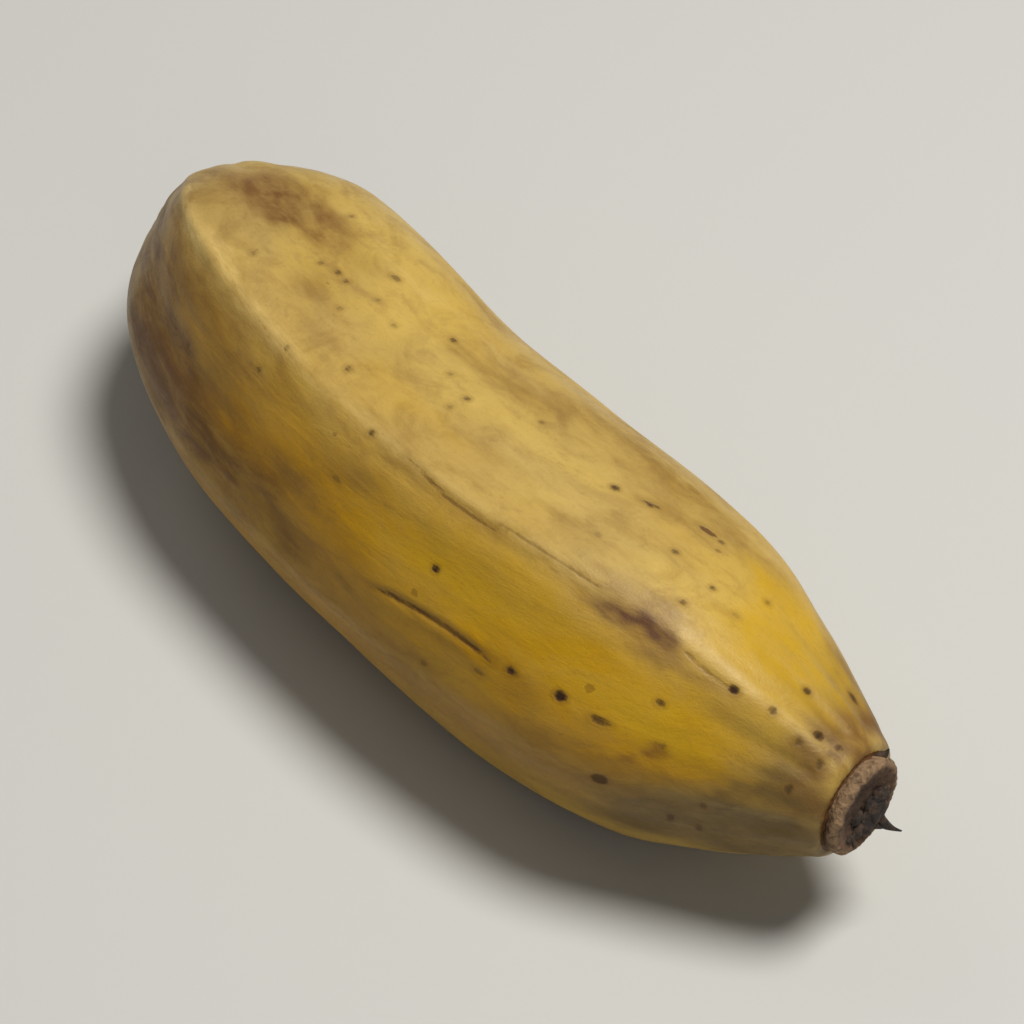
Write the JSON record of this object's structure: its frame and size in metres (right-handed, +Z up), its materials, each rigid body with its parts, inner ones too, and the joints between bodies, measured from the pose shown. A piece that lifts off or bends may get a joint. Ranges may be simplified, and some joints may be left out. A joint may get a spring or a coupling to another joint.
{
  "type": "banana",
  "caption": "Whole short, thick, angular cooking banana with its peel on, lying on its side, with a cut stem stub and a corky flower scar.",
  "frame": {"origin": "middle of the base: the bottom centre of the bounding box, on the plane that the fruit rests on", "axes": "+X from the stem end to the blossom end, -Y the outwardly bowed side, +Z up"},
  "size_m": [0.1408, 0.0464, 0.0414],
  "materials": {
    "peel": "semi-matte waxy peel"
  },
  "bodies": {
    "root": {"banana": "peel"}
  },
  "joints": []
}
